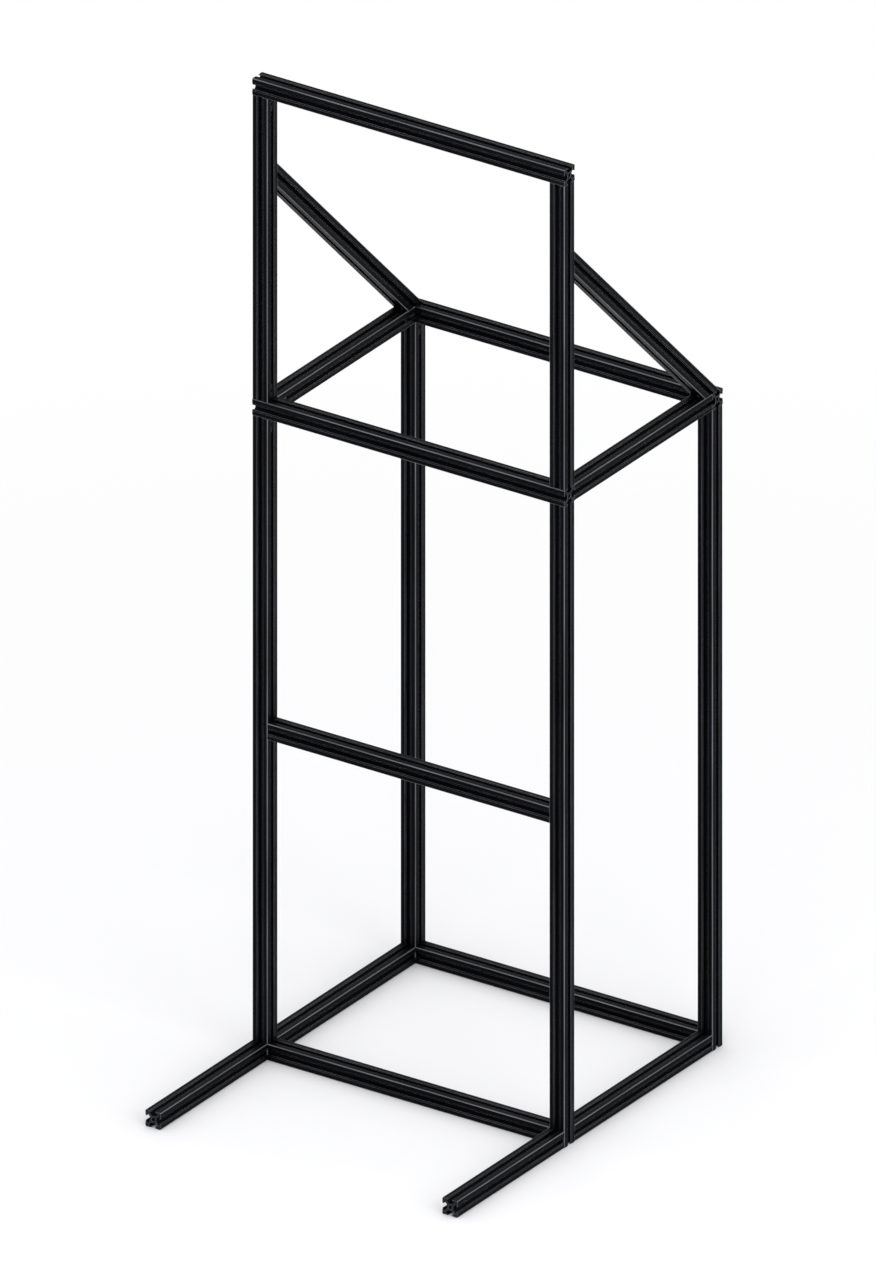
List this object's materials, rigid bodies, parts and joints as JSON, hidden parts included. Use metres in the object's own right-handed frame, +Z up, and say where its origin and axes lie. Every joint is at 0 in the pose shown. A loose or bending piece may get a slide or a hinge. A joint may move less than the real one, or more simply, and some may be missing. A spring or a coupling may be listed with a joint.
{
  "type": "t-slot aluminium frame",
  "caption": "Tall open rack of square T-slot bars: base with forward feet, upper frame, raised front portal held by sloping braces.",
  "frame": {"origin": "middle of the footprint, on the floor", "axes": "+X to the right seen from the front, +Y to the back, +Z up"},
  "size_m": [0.61, 0.77, 1.764],
  "materials": {
    "black_anodised_aluminium": "black anodised extrusion, satin",
    "zinc_plated_steel": "bright zinc plate",
    "black_oxide_steel": "black oxide"
  },
  "bodies": {
    "root": {"base_front_rail": "black_anodised_aluminium", "base_left_rail": "black_anodised_aluminium", "base_rear_rail": "black_anodised_aluminium", "base_right_rail": "black_anodised_aluminium", "front_left_post": "black_anodised_aluminium", "front_right_post": "black_anodised_aluminium", "left_brace": "black_anodised_aluminium", "left_foot": "black_anodised_aluminium", "middle_rail": "black_anodised_aluminium", "rear_left_post": "black_anodised_aluminium", "rear_right_post": "black_anodised_aluminium", "right_brace": "black_anodised_aluminium", "right_foot": "black_anodised_aluminium", "top_rail": "black_anodised_aluminium", "upper_front_rail": "black_anodised_aluminium", "upper_left_post": "black_anodised_aluminium", "upper_left_rail": "black_anodised_aluminium", "upper_rear_rail": "black_anodised_aluminium", "upper_right_post": "black_anodised_aluminium", "upper_right_rail": "black_anodised_aluminium", "connector_anchors": "black_oxide_steel", "connector_grub_screws": "black_oxide_steel", "brace_upper_screws": "black_oxide_steel", "brace_lower_screws": "black_oxide_steel", "brace_t_nuts": "zinc_plated_steel"}
  },
  "joints": []
}
